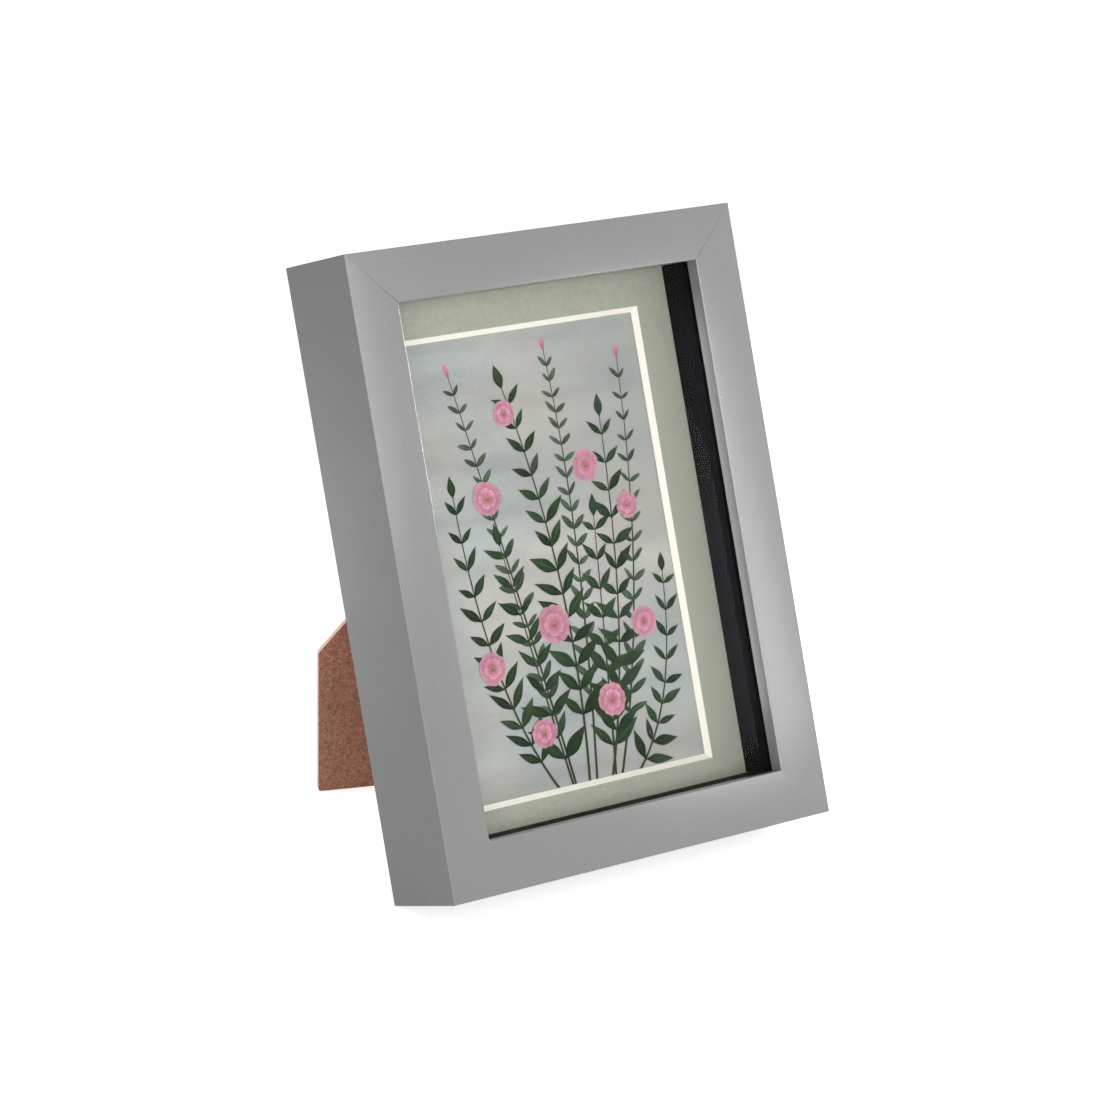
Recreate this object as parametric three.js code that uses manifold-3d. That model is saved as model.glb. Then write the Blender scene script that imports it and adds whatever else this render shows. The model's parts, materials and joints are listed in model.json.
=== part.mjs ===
// Shadow box frame: a deep grey picture frame for the desk or the wall. Four mitred rails hold
// glass, four black spacers, a window mount, a print and a back panel, which six turn buttons
// keep in. A strut on a slanting hinge folds out of the back and props the frame up as it leans.
// Millimetres, +Z up. Inside the leaning frame X runs to the right, Y from front to back and
// Z up along the frame, so depths below are measured back from the front face.
import * as THREE from 'three';
import { mergeVertices } from 'three/addons/utils/BufferGeometryUtils.js';
import Module from 'manifold-3d';

const wasm = await Module();
wasm.setup();

// Whole frame
const frameWidth = 154;
const frameHeight = 205;
const frameDepth = 34;
const leanDegrees = 20;

// Rail section, widths measured inwards from the outer face
const faceWidth = 17.2;
const lipDepth = 5;
const pocketWall = 13.5;
const recessWall = 6;
const arrisRadius = 0.8;
const sightRadius = 0.5;

// Clearances
const fitGap = 0.3;
const pocketClearance = 0.5;

// Layers in the pocket, from the front
const glassThickness = 2;
const spacerDepth = 12.1;
const spacerSetback = 0.3;
const mountThickness = 1.7;
const printThickness = 0.3;
const panelThickness = 2.5;

// Window in the mount, measured at its back edge, and the print behind it
const windowWidth = 91.6;
const windowHeight = 148.6;
const windowDrop = 2.2;
const printWidth = 101.6;
const printHeight = 152.4;

// Corner nails: bent steel strips driven into the back of each mitre
const nailLeg = 6;
const nailThickness = 0.7;
const nailLength = 9;
const nailSink = 0.4;

// Turn buttons and their screws
const buttonRadius = 3.2;
const buttonTipRadius = 2.3;
const buttonReach = 10.5;
const buttonThickness = 0.9;
const buttonTipLift = 1.1;
const buttonTipSlope = 2.6;
const buttonSpread = 104;
const screwRadius = 1.1;
const screwLength = 8;
const screwHeadRadius = 2.5;
const screwHeadHeight = 1.2;

// Strut board, its sizes measured from the hinge pin and from the toe that stands on the table
const strutThickness = 2.2;
const strutLength = 162;
const strutOpenDegrees = 35;
const hingeSlantDegrees = 40;
const toeInset = 15;
const toeSideWidth = 34.5;
const toeSideHeight = 40.1;
const toeFootWidth = 24;
const strutRightAtHinge = 7;
const strutCornerRadius = 1.2;

// Strut hinge
const hingeWidth = 30;
const knuckleRadius = 2.2;
const middleKnuckle = 11;
const hingePinRadius = 0.9;
const hingePinHeadRadius = 1.5;
const hingePinHeadHeight = 0.6;
const leafThickness = 0.8;
const leafCornerRadius = 2;
const panelLeafLength = 15;
const strutLeafLength = 21;
const rivetRadius = 1.1;
const rivetHeadRadius = 2.3;
const rivetHeadHeight = 0.7;
const rivetSpacing = 18;
const rivetEdge = 4.5;

// Hangers: toothed steel strips pinned to the panel, one for either way up
const hangerLength = 36;
const hangerHeight = 9;
const hangerThickness = 0.7;
const hangerStandoff = 1.8;
const hangerFlat = 8;
const hangerRamp = 2;
const hangerEdge = 13;
const toothCount = 7;
const toothDepth = 1.8;
const panelPinRadius = 0.7;
const panelPinHeadRadius = 1.5;
const panelPinHeadHeight = 0.5;

// Angles, depths and sizes that follow from the above
const lean = THREE.MathUtils.degToRad(leanDegrees);
const strutOpen = THREE.MathUtils.degToRad(strutOpenDegrees);
const hingeSlant = THREE.MathUtils.degToRad(hingeSlantDegrees);
const glassFront = lipDepth + fitGap;
const spacerFront = glassFront + glassThickness + fitGap;
const mountFront = spacerFront + spacerDepth + fitGap;
const printFront = mountFront + mountThickness + fitGap;
const panelFront = printFront + printThickness + fitGap;
const panelBack = panelFront + panelThickness;
const hardwareFront = panelBack + fitGap;
const buttonLine = (recessWall + pocketWall) / 2;
const nailLine = recessWall / 2;

const finishes = {
  rail: { color: 0x9d9d9c, roughness: 0.5, metalness: 0 },
  glass: { color: 0xdfe9e6, roughness: 0.05, metalness: 0, transparent: true, opacity: 0.25 },
  spacer: { color: 0x17171a, roughness: 0.9, metalness: 0 },
  mount: { color: 0xa0a394, roughness: 0.95, metalness: 0 },
  paper: { color: 0xe6e4df, roughness: 0.6, metalness: 0 },
  hardboard: { color: 0x9a6f5c, roughness: 0.85, metalness: 0 },
  steel: { color: 0xb9bbbd, roughness: 0.35, metalness: 1 },
};

const model = new THREE.Group();
const leaning = new THREE.Group();
leaning.rotation.x = -lean;
model.add(leaning);

function addMesh(parent, name, finish, geometry) {
  const mesh = new THREE.Mesh(geometry, new THREE.MeshStandardMaterial(finish));
  mesh.name = name;
  parent.add(mesh);
  return mesh;
}

// Joining and cutting solids
function toSolid(geometry) {
  const bare = geometry.clone();
  bare.deleteAttribute('normal');
  bare.deleteAttribute('uv');
  const merged = mergeVertices(bare);
  return new wasm.Manifold(new wasm.Mesh({
    numProp: 3,
    vertProperties: merged.attributes.position.array,
    triVerts: Uint32Array.from(merged.index.array),
  }));
}

function toGeometry(solid) {
  const { vertProperties, triVerts } = solid.getMesh();
  const geometry = new THREE.BufferGeometry();
  geometry.setAttribute('position', new THREE.BufferAttribute(vertProperties, 3));
  geometry.setIndex(new THREE.BufferAttribute(triVerts, 1));
  geometry.computeVertexNormals();
  return geometry;
}

const join = (first, ...rest) => toGeometry(rest.reduce((a, b) => a.add(toSolid(b)), toSolid(first)));
const cut = (first, ...rest) => toGeometry(rest.reduce((a, b) => a.subtract(toSolid(b)), toSolid(first)));
const common = (first, second) => toGeometry(toSolid(first).intersect(toSolid(second)));

// Shapes: a plate lies in X and Z and grows back along Y, a section lies in Y and Z and is drawn
// out along X, half to each side, and a turned piece is spun about Y from points (radius, depth)
const arcSegments = 8;
const arrisSegments = 2;
const turnSegments = 16;

function plate(shape, thickness) {
  const options = { depth: thickness, bevelEnabled: false, curveSegments: arcSegments };
  return new THREE.ExtrudeGeometry(shape, options).rotateX(Math.PI / 2).translate(0, thickness, 0);
}

const sectionAxes = new THREE.Matrix4().makeBasis(
  new THREE.Vector3(0, 1, 0),
  new THREE.Vector3(0, 0, 1),
  new THREE.Vector3(1, 0, 0),
);

function section(shape, length, curveSegments = arcSegments) {
  const options = { depth: length, bevelEnabled: false, curveSegments };
  return new THREE.ExtrudeGeometry(shape, options).translate(0, 0, -length / 2).applyMatrix4(sectionAxes);
}

function turned(points) {
  const outline = points.map(([radius, depth]) => new THREE.Vector2(radius, depth));
  return new THREE.LatheGeometry(outline, turnSegments);
}

function polygon(points) {
  return new THREE.Shape(points.map(([a, b]) => new THREE.Vector2(a, b)));
}

function rectangle(left, bottom, right, top) {
  return polygon([[left, bottom], [right, bottom], [right, top], [left, top]]);
}

function easedPolygon(points, radius) {
  const corners = points.map(([a, b]) => new THREE.Vector2(a, b));
  const shape = new THREE.Shape();
  corners.forEach((corner, i) => {
    const before = corners.at(i - 1).clone().sub(corner).setLength(radius).add(corner);
    const after = corners[(i + 1) % corners.length].clone().sub(corner).setLength(radius).add(corner);
    if (i === 0) {
      shape.moveTo(before.x, before.y);
    } else {
      shape.lineTo(before.x, before.y);
    }
    shape.quadraticCurveTo(corner.x, corner.y, after.x, after.y);
  });
  shape.closePath();
  return shape;
}

function drill(shape, x, z, radius) {
  const hole = new THREE.Path();
  hole.absarc(x, z, radius, 0, Math.PI * 2);
  shape.holes.push(hole);
}

// The four sides of the frame. Each has a group of its own, with X along the rail, Y back from
// the front face and Z inwards from the outer face.
const halfWidth = frameWidth / 2;
const halfHeight = frameHeight / 2;
const oneButton = [0];
const twoButtons = [-buttonSpread / 2, buttonSpread / 2];
const sides = [
  { name: 'bottom', length: frameWidth, x: 0, z: 0, quarterTurns: 0, buttons: oneButton },
  { name: 'left', length: frameHeight, x: -halfWidth, z: halfHeight, quarterTurns: 1, buttons: twoButtons },
  { name: 'top', length: frameWidth, x: 0, z: frameHeight, quarterTurns: 2, buttons: oneButton },
  { name: 'right', length: frameHeight, x: halfWidth, z: halfHeight, quarterTurns: 3, buttons: twoButtons },
];
for (const side of sides) {
  side.group = new THREE.Group();
  side.group.position.set(side.x, 0, side.z);
  side.group.rotation.y = side.quarterTurns * Math.PI / 2;
  leaning.add(side.group);
}

// Rails: one rebated section with its arrises eased, mitred at both ends. The shelf in the
// rebate takes the turn buttons' screws, and the back of each mitre is slotted for its nail.
const screwHoleRadius = screwRadius + fitGap;

function railShape() {
  const quarter = Math.PI / 2;
  const shape = new THREE.Shape();
  shape.absarc(arrisRadius, arrisRadius, arrisRadius, -quarter, -2 * quarter, true);
  shape.absarc(sightRadius, faceWidth - sightRadius, sightRadius, 2 * quarter, quarter, true);
  shape.lineTo(lipDepth, faceWidth);
  shape.lineTo(lipDepth, pocketWall);
  shape.lineTo(panelBack, pocketWall);
  shape.lineTo(panelBack, recessWall);
  shape.absarc(frameDepth - sightRadius, recessWall - sightRadius, sightRadius, quarter, 0, true);
  shape.absarc(frameDepth - arrisRadius, arrisRadius, arrisRadius, 0, -quarter, true);
  return shape;
}

function mitre(rail) {
  const position = rail.attributes.position;
  const seam = fitGap * Math.SQRT1_2;
  for (let i = 0; i < position.count; i += 1) {
    const end = Math.sign(position.getX(i));
    position.setX(i, position.getX(i) - end * (position.getZ(i) + seam));
  }
  return rail;
}

function screwHole(along) {
  const depth = screwLength + fitGap;
  const hole = new THREE.CylinderGeometry(screwHoleRadius, screwHoleRadius, 2 * depth, turnSegments);
  return hole.translate(along, panelBack, buttonLine);
}

function nailSlot(end, length) {
  const depth = nailSink + nailLength + fitGap;
  const reach = nailLeg + fitGap;
  const slot = new THREE.BoxGeometry(2 * reach, 2 * depth, nailThickness + 2 * fitGap);
  return slot.translate(end * (length / 2 - nailLine), frameDepth, nailLine);
}

for (const { name, length, group, buttons } of sides) {
  const blank = mitre(section(railShape(), length, arrisSegments));
  const slots = [-1, 1].map((end) => nailSlot(end, length));
  addMesh(group, `${name}_rail`, finishes.rail, cut(blank, ...buttons.map(screwHole), ...slots));
}

// Corner nails: each bends round its mitre, one leg in either rail
const corners = [
  { name: 'bottom_left', x: nailLine - halfWidth, z: nailLine },
  { name: 'top_left', x: nailLine - halfWidth, z: frameHeight - nailLine },
  { name: 'top_right', x: halfWidth - nailLine, z: frameHeight - nailLine },
  { name: 'bottom_right', x: halfWidth - nailLine, z: nailLine },
];
corners.forEach(({ name, x, z }, quarterTurns) => {
  const half = nailThickness / 2;
  const bend = polygon([
    [-half, -half], [nailLeg, -half], [nailLeg, half], [half, half], [half, nailLeg], [-half, nailLeg],
  ]);
  const nail = addMesh(leaning, `corner_nail_${name}`, finishes.steel, plate(bend, nailLength));
  nail.position.set(x, frameDepth - nailSink - nailLength, z);
  nail.rotation.y = quarterTurns * Math.PI / 2;
});

// Glass, in the pocket behind the lip
function sheetShape() {
  const across = halfWidth - pocketWall - pocketClearance;
  const upright = halfHeight - pocketWall - pocketClearance;
  return rectangle(-across, halfHeight - upright, across, halfHeight + upright);
}

const glass = addMesh(leaning, 'glass_pane', finishes.glass, plate(sheetShape(), glassThickness));
glass.position.y = glassFront;

// Spacers: black strips round the pocket that hold the mount off the glass. The upper and lower
// ones run the full width, and the two at the sides stand between them.
const spacerOuter = pocketWall + fitGap;
const spacerThickness = faceWidth - spacerSetback - spacerOuter;

for (const { name, length, group, quarterTurns } of sides) {
  const standsBetween = quarterTurns % 2 === 1;
  const endGap = spacerOuter + (standsBetween ? spacerThickness + fitGap : 0);
  const strip = section(rectangle(0, 0, spacerDepth, spacerThickness), length - 2 * endGap);
  addMesh(group, `${name}_spacer`, finishes.spacer, strip).position.set(0, spacerFront, spacerOuter);
}

// Window mount: board whose window is cut at 45 degrees, so that it widens to the front
const windowCentre = halfHeight - windowDrop;

function centredOnWindow(width, height) {
  return rectangle(-width / 2, windowCentre - height / 2, width / 2, windowCentre + height / 2);
}

function windowCutter() {
  const opening = centredOnWindow(windowWidth, windowHeight);
  const cutter = plate(opening, 3 * mountThickness).translate(0, -mountThickness, 0);
  const position = cutter.attributes.position;
  for (let i = 0; i < position.count; i += 1) {
    const spread = mountThickness - position.getY(i);
    position.setX(i, position.getX(i) + Math.sign(position.getX(i)) * spread);
    position.setZ(i, position.getZ(i) + Math.sign(position.getZ(i) - windowCentre) * spread);
  }
  return cutter;
}

const mountBoard = cut(plate(sheetShape(), mountThickness), windowCutter());
addMesh(leaning, 'mount_board', finishes.mount, mountBoard).position.y = mountFront;

// Print behind the window
const print = plate(centredOnWindow(printWidth, printHeight), printThickness);
addMesh(leaning, 'art_print', finishes.paper, print).position.y = printFront;

// Placing of the strut. Its hinge lies on the panel at the height that lets the toe stand on the
// table when the strut is open, and its heel, above the pin, then bears on the panel.
const pinDepth = hardwareFront + knuckleRadius;
const strutFace = knuckleRadius + fitGap;
const tableLevel = arrisRadius * (Math.cos(lean) + Math.sin(lean) - 1) - frameDepth * Math.sin(lean);
const toeReach = strutLength * Math.cos(strutOpen) - strutFace * Math.sin(strutOpen);
const toeDepth = pinDepth + strutLength * Math.sin(strutOpen) + strutFace * Math.cos(strutOpen);
const toeZ = (tableLevel + toeDepth * Math.sin(lean)) / Math.cos(lean);
const hingeZ = toeZ + toeReach * Math.cos(hingeSlant);
const hingeX = toeInset - halfWidth + strutLength * Math.sin(hingeSlant);
const heelDrop = pinDepth - panelBack - fitGap;
const heelHeight = (strutFace * Math.cos(strutOpen) + heelDrop) / Math.sin(strutOpen);
const hingeCentre = (strutRightAtHinge - toeSideWidth) / 2;

const hinge = new THREE.Group();
hinge.position.set(hingeX, pinDepth, hingeZ);
hinge.rotation.y = hingeSlant;
leaning.add(hinge);

const strut = new THREE.Group();
strut.rotation.x = strutOpen;
hinge.add(strut);

const rivetHoleRadius = rivetRadius + fitGap;
const rivetPlaces = [hingeCentre - rivetSpacing / 2, hingeCentre + rivetSpacing / 2];
const panelRivetLine = rivetEdge - panelLeafLength;
const strutRivetLine = rivetEdge - strutLeafLength;

// Places of the hangers: below the top edge, and beside the edge that is up the other way round
const panelPinSpacing = hangerLength - hangerFlat;
const panelPinPlaces = [-panelPinSpacing / 2, panelPinSpacing / 2];
const hangers = [
  { name: 'top', x: 0, z: frameHeight - pocketWall - hangerEdge, turn: 0 },
  { name: 'side', x: halfWidth - pocketWall - hangerEdge, z: halfHeight, turn: Math.PI / 2 },
];

// Back panel, flush with the shelf that carries the turn buttons, and drilled for its fittings
const panelShape = sheetShape();
for (const along of rivetPlaces) {
  const x = hingeX + along * Math.cos(hingeSlant) + panelRivetLine * Math.sin(hingeSlant);
  const z = hingeZ - along * Math.sin(hingeSlant) + panelRivetLine * Math.cos(hingeSlant);
  drill(panelShape, x, z, rivetHoleRadius);
}
for (const { x, z, turn } of hangers) {
  for (const along of panelPinPlaces) {
    drill(panelShape, x + along * Math.cos(turn), z - along * Math.sin(turn), panelPinRadius + fitGap);
  }
}
const panel = addMesh(leaning, 'back_panel', finishes.hardboard, plate(panelShape, panelThickness));
panel.position.y = panelFront;

// Turn buttons: stamped steel tongues with a lifted tip, each on one screw in the shelf
function buttonGeometry() {
  const tipCentre = buttonReach - buttonTipRadius;
  const taper = Math.asin((buttonRadius - buttonTipRadius) / tipCentre);
  const plan = new THREE.Shape();
  plan.absarc(0, 0, buttonRadius, Math.PI - taper, taper);
  plan.absarc(0, tipCentre, buttonTipRadius, taper, Math.PI - taper);
  drill(plan, 0, 0, screwHoleRadius);
  const slopeStart = buttonReach - buttonTipSlope;
  const bend = polygon([
    [0, -2 * buttonRadius],
    [0, slopeStart],
    [buttonTipLift, buttonReach],
    [buttonTipLift + buttonThickness, buttonReach],
    [buttonThickness, slopeStart],
    [buttonThickness, -2 * buttonRadius],
  ]);
  return common(plate(plan, buttonThickness + buttonTipLift), section(bend, 4 * buttonRadius));
}

// Screws, rivets and pins have a low domed head that stands on a face: a short rim, then a dome
// that rises to its full height at the middle
const rimShare = 0.4;
const domeSteps = 3;

function domedHead(radius, height, face, direction) {
  const outline = [[radius, face]];
  for (let step = 0; step <= domeSteps; step += 1) {
    const angle = (step / domeSteps) * Math.PI / 2;
    const rise = rimShare + (1 - rimShare) * Math.sin(angle);
    outline.push([step < domeSteps ? radius * Math.cos(angle) : 0, face + direction * height * rise]);
  }
  return outline;
}

function screwGeometry() {
  const seat = buttonThickness + fitGap;
  return turned([
    [0, -screwLength],
    [screwRadius, screwRadius - screwLength],
    [screwRadius, seat],
    ...domedHead(screwHeadRadius, screwHeadHeight, seat, 1),
  ]);
}

for (const { name, group, buttons } of sides) {
  buttons.forEach((along, index) => {
    const label = buttons.length > 1 ? `${name}_${index + 1}` : name;
    const button = addMesh(group, `turn_button_${label}`, finishes.steel, buttonGeometry());
    button.position.set(along, hardwareFront, buttonLine);
    const screw = addMesh(group, `button_screw_${label}`, finishes.steel, screwGeometry());
    screw.position.set(along, hardwareFront, buttonLine);
  });
}

// Hinge leaves: rolled steel, each a plate whose edge curls into knuckles round the pin. The
// panel's leaf has the outer two knuckles and the strut's leaf has the middle one. A leaf's side
// is -1 where its plate lies towards the panel and 1 where it lies towards the strut.
const leafStart = -knuckleRadius - fitGap;
const outerKnuckle = (hingeWidth - middleKnuckle) / 2 - fitGap;
const outerKnuckleOffset = (hingeWidth - outerKnuckle) / 2;

function knuckle(length, offset, side) {
  const curlEnd = Math.acos((leafThickness - knuckleRadius) / knuckleRadius);
  const curl = new THREE.Path();
  curl.moveTo(leafThickness - knuckleRadius, leafStart - leafThickness);
  curl.lineTo(-knuckleRadius, leafStart - leafThickness);
  curl.absarc(0, 0, knuckleRadius, Math.PI, -curlEnd, true);
  const shape = polygon(curl.getPoints(arcSegments).map(({ x, y }) => [-side * x, y]));
  drill(shape, 0, 0, hingePinRadius + fitGap);
  return section(shape, length).translate(hingeCentre + offset, 0, 0);
}

function leafPlate(length, side) {
  const left = hingeCentre - hingeWidth / 2;
  const right = hingeCentre + hingeWidth / 2;
  const shape = new THREE.Shape();
  shape.moveTo(right, leafStart);
  shape.lineTo(left, leafStart);
  const round = leafCornerRadius;
  shape.absarc(left + round, round - length, round, Math.PI, Math.PI * 1.5);
  shape.absarc(right - round, round - length, round, Math.PI * 1.5, Math.PI * 2);
  for (const along of rivetPlaces) {
    drill(shape, along, rivetEdge - length, rivetHoleRadius);
  }
  const front = side > 0 ? knuckleRadius - leafThickness : -knuckleRadius;
  return plate(shape, leafThickness).translate(0, front, 0);
}

const panelLeaf = join(
  leafPlate(panelLeafLength, -1),
  knuckle(outerKnuckle, -outerKnuckleOffset, -1),
  knuckle(outerKnuckle, outerKnuckleOffset, -1),
);
addMesh(hinge, 'hinge_panel_leaf', finishes.steel, panelLeaf);

const strutLeaf = join(leafPlate(strutLeafLength, 1), knuckle(middleKnuckle, 0, 1));
addMesh(strut, 'hinge_strut_leaf', finishes.steel, strutLeaf);

const hingePinEnd = hingeWidth / 2 + fitGap;
const hingePin = turned([
  [0, -hingePinEnd - hingePinHeadHeight],
  [hingePinHeadRadius, -hingePinEnd - hingePinHeadHeight],
  [hingePinHeadRadius, -hingePinEnd],
  [hingePinRadius, -hingePinEnd],
  [hingePinRadius, hingePinEnd],
  [hingePinHeadRadius, hingePinEnd],
  [hingePinHeadRadius, hingePinEnd + hingePinHeadHeight],
  [0, hingePinEnd + hingePinHeadHeight],
]);
addMesh(hinge, 'hinge_pin', finishes.steel, hingePin.rotateZ(Math.PI / 2)).position.x = hingeCentre;

// Strut board: a strip square to its hinge, tapered on the right. Its toe is a nearly square
// corner whose edges lie along the panel's edges when the strut is folded away.
const strutShape = easedPolygon([
  [0, -strutLength],
  [toeFootWidth, toeFootWidth * Math.tan(hingeSlant) - strutLength],
  [strutRightAtHinge, heelHeight],
  [-toeSideWidth, heelHeight],
  [-toeSideWidth, toeSideHeight - strutLength],
], strutCornerRadius);
for (const along of rivetPlaces) {
  drill(strutShape, along, strutRivetLine, rivetHoleRadius);
}
const strutBoard = addMesh(strut, 'strut_board', finishes.hardboard, plate(strutShape, strutThickness));
strutBoard.position.y = strutFace;

// Rivets: two hold a leaf to the panel, finishing flush in front, and two hold the other leaf to
// the strut, headed on both sides
const panelRivetSeat = leafThickness + fitGap - knuckleRadius;
const strutRivetSeat = knuckleRadius - leafThickness - fitGap;
const strutRivetBack = strutFace + strutThickness + fitGap;

rivetPlaces.forEach((along, index) => {
  const panelRivet = turned([
    [0, panelFront - pinDepth],
    [rivetRadius, panelFront - pinDepth],
    [rivetRadius, panelRivetSeat],
    ...domedHead(rivetHeadRadius, rivetHeadHeight, panelRivetSeat, 1),
  ]);
  const strutRivet = turned([
    ...domedHead(rivetHeadRadius, rivetHeadHeight, strutRivetSeat, -1).reverse(),
    [rivetRadius, strutRivetSeat],
    [rivetRadius, strutRivetBack],
    ...domedHead(rivetHeadRadius, rivetHeadHeight, strutRivetBack, 1),
  ]);
  panelRivet.translate(along, 0, panelRivetLine);
  strutRivet.translate(along, 0, strutRivetLine);
  addMesh(hinge, `panel_rivet_${index + 1}`, finishes.steel, panelRivet);
  addMesh(strut, `strut_rivet_${index + 1}`, finishes.steel, strutRivet);
});

// Hangers: each a strip bent out from the panel between its two pins, toothed along the lower
// edge of the raised part so that it can be shifted on its wall nail until the frame hangs level
const hangerRaised = hangerLength - 2 * (hangerFlat + hangerRamp);

function hangerGeometry() {
  const halfLength = hangerLength / 2;
  const halfStrip = hangerHeight / 2;
  const halfRaised = hangerRaised / 2;
  const outline = [[-halfLength, halfStrip], [-halfLength, -halfStrip], [-halfRaised, -halfStrip]];
  const pitch = hangerRaised / toothCount;
  for (let tooth = 0; tooth < toothCount; tooth += 1) {
    const start = tooth * pitch - halfRaised;
    outline.push([start + pitch / 2, toothDepth - halfStrip], [start + pitch, -halfStrip]);
  }
  outline.push([halfLength, -halfStrip], [halfLength, halfStrip]);
  const plan = polygon(outline);
  for (const along of panelPinPlaces) {
    drill(plan, along, 0, panelPinRadius + fitGap);
  }
  const bendLine = [
    [0, -halfLength], [0, -halfRaised - hangerRamp], [hangerStandoff, -halfRaised],
    [hangerStandoff, halfRaised], [0, halfRaised + hangerRamp], [0, halfLength],
  ];
  const outerLine = bendLine.map(([depth, along]) => [depth + hangerThickness, along]).reverse();
  const bend = section(polygon([...bendLine, ...outerLine]), 2 * hangerHeight).rotateY(Math.PI / 2);
  const blank = plate(plan, hangerStandoff + 2 * hangerThickness);
  return common(blank, bend);
}

function panelPinGeometry() {
  const tip = panelFront - hardwareFront;
  const seat = hangerThickness + fitGap;
  return turned([
    [0, tip],
    [panelPinRadius, tip],
    [panelPinRadius, seat],
    ...domedHead(panelPinHeadRadius, panelPinHeadHeight, seat, 1),
  ]);
}

for (const { name, x, z, turn } of hangers) {
  const group = new THREE.Group();
  group.position.set(x, hardwareFront, z);
  group.rotation.y = turn;
  leaning.add(group);
  addMesh(group, `hanger_${name}`, finishes.steel, hangerGeometry());
  panelPinPlaces.forEach((along, index) => {
    const pin = addMesh(group, `hanger_pin_${name}_${index + 1}`, finishes.steel, panelPinGeometry());
    pin.position.x = along;
  });
}

// The origin lies under the middle of the frame, on the table that it stands on
leaning.position.z = -tableLevel;
const footprint = new THREE.Box3().setFromObject(model, true);
leaning.position.y = -(footprint.min.y + footprint.max.y) / 2;

export default model;
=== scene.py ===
# Shadow box frame: a deep grey picture frame that leans back on a folding strut. This script
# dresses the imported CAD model, in metres, and sets up a plain studio round it. Pieces are first
# made as if the frame stood upright, with X to the right, Y back from its front face and Z up.
import json
import math
import random

import bmesh
import bpy
from mathutils import Matrix, Vector


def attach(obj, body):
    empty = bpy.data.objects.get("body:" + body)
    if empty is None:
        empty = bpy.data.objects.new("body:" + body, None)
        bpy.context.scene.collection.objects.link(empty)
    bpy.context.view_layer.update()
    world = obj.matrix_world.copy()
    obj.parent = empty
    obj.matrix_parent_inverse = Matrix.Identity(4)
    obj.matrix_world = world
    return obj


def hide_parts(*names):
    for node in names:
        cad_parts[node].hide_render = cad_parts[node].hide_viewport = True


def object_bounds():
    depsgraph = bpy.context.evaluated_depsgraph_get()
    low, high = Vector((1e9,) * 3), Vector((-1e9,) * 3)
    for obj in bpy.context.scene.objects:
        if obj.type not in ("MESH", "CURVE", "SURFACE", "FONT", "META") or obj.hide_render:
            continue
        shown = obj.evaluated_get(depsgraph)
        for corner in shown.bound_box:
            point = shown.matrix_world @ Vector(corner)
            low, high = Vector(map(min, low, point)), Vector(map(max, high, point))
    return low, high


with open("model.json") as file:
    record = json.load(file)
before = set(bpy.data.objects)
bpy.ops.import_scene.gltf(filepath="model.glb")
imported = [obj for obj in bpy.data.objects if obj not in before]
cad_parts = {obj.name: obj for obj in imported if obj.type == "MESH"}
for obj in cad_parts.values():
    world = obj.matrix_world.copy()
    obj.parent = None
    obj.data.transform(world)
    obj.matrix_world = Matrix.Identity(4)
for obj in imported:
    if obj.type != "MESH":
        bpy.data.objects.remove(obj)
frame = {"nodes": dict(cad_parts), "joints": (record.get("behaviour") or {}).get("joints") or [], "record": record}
cad_low, cad_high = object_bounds()

# Rails
# Four lengths of moulded fibreboard wrapped in satin grey foil, faintly crowned across the front
# and rebated behind for the glass and the panel. They are mitred, glued and nailed at the corners.
mm = 0.001
frame_width = cad_high.x - cad_low.x
frame_depth = 34 * mm
face_width = 17.2 * mm
lip_depth = 5 * mm
pocket_wall = 13.5 * mm
shelf_depth = 25.1 * mm
recess_wall = 6 * mm
outer_round = 0.12 * mm
inner_round = 0.5 * mm
round_steps = 5
crown_rise = 0.1 * mm
crown_steps = 8

# An edge that turns by more than sharp_angle counts as sharp. Points within weld_distance of each
# other are one, and points within cut_tolerance of a cut lie on it.
sharp_angle = math.radians(40)
weld_distance = 0.01 * mm
cut_tolerance = 0.001 * mm

# The wall faces in the record say how the frame leans and how tall it is
mounts = {mount["name"]: mount for mount in frame["record"]["mounts"]}
wall_low = Vector(mounts["wall_face_bottom"]["pos_m"])
wall_high = Vector(mounts["wall_face_top"]["pos_m"])
back_axis = Vector(mounts["wall_face_top"]["axis"]).normalized()
up_axis = (wall_high - wall_low).normalized()
frame_height = (wall_high - wall_low).length + recess_wall
lean = math.atan2(up_axis.y, up_axis.z)
front_foot = wall_low - back_axis * frame_depth - up_axis * recess_wall / 2
standing = Matrix.Translation(front_foot) @ Matrix.Rotation(-lean, 4, "X")


def side_place(quarter_turns):
    """Where one side's pieces go: they are made as the bottom side's, with Z inwards from 0."""
    across = frame_width if quarter_turns % 2 else frame_height
    middle = Matrix.Translation((0, 0, frame_height / 2))
    turn = Matrix.Rotation(quarter_turns * math.pi / 2, 4, "Y")
    return standing @ middle @ turn @ Matrix.Translation((0, 0, -across / 2))


def only(piece):
    """Leaves edit mode and makes a piece the only one selected."""
    if bpy.context.mode != "OBJECT":
        bpy.ops.object.mode_set(mode="OBJECT")
    bpy.ops.object.select_all(action="DESELECT")
    piece.select_set(True)
    bpy.context.view_layer.objects.active = piece


def pick(piece, kind, chosen=lambda part: True):
    """Goes into edit mode and selects the corners, edges or faces that chosen says yes to, or all."""
    only(piece)
    bpy.ops.object.mode_set(mode="EDIT")
    bpy.ops.mesh.select_mode(type=kind)
    bpy.ops.mesh.select_all(action="DESELECT")
    mesh = bmesh.from_edit_mesh(piece.data)
    for part in {"VERT": mesh.verts, "EDGE": mesh.edges, "FACE": mesh.faces}[kind]:
        part.select_set(chosen(part))
    bmesh.update_edit_mesh(piece.data)


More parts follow.
